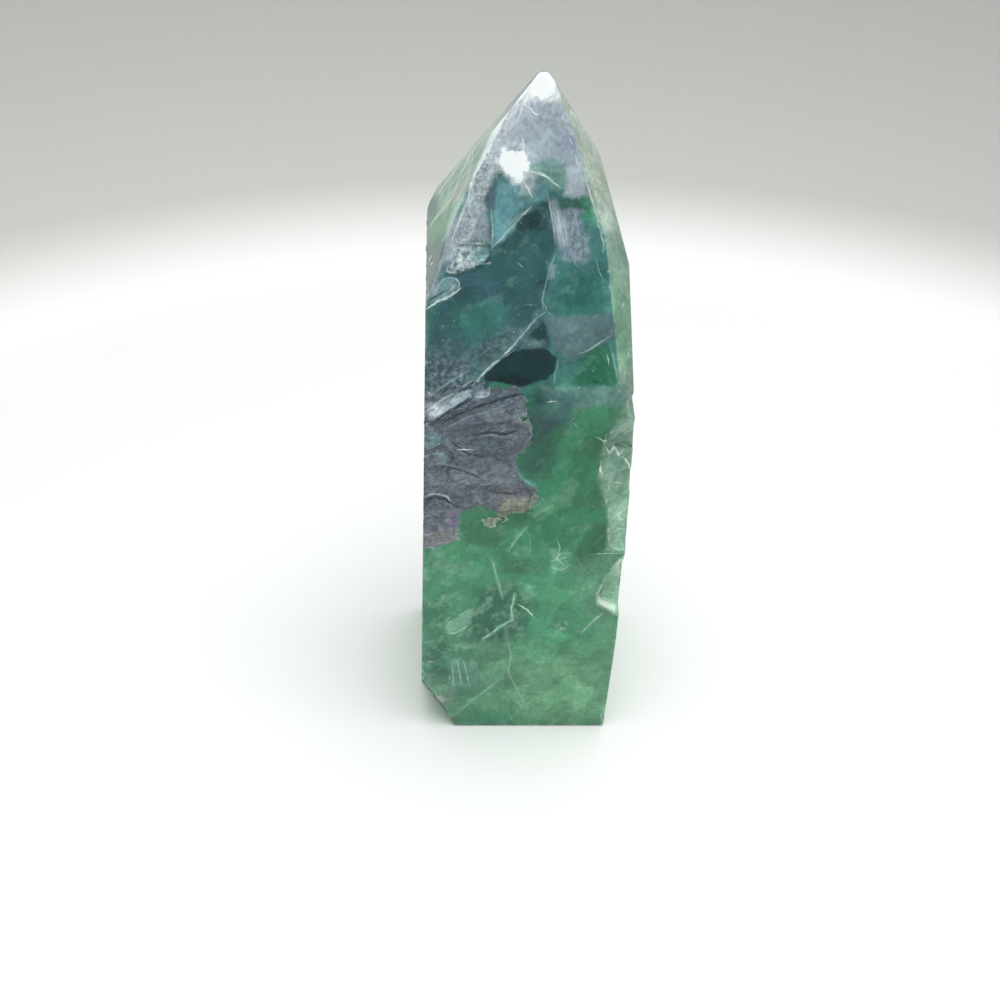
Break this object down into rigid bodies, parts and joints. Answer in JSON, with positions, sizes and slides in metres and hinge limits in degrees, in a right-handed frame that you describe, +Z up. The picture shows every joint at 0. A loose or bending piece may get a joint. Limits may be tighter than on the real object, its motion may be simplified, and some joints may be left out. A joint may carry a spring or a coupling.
{
  "type": "fluorite point",
  "caption": "Polished fluorite tower: a four-sided stone with a sloping pointed top, green below, teal and grey above, with chipped edges.",
  "frame": {"origin": "middle of the sawn foot, at the level that the tower stands on", "axes": "+Z up along the tower to its tip, -Y out of the wide polished front, +X to the right seen from the front"},
  "size_m": [0.0324, 0.03, 0.095],
  "materials": {
    "fluorite": "polished, translucent, with rough broken edges"
  },
  "bodies": {
    "root": {"fluorite_point": "fluorite"}
  },
  "joints": []
}
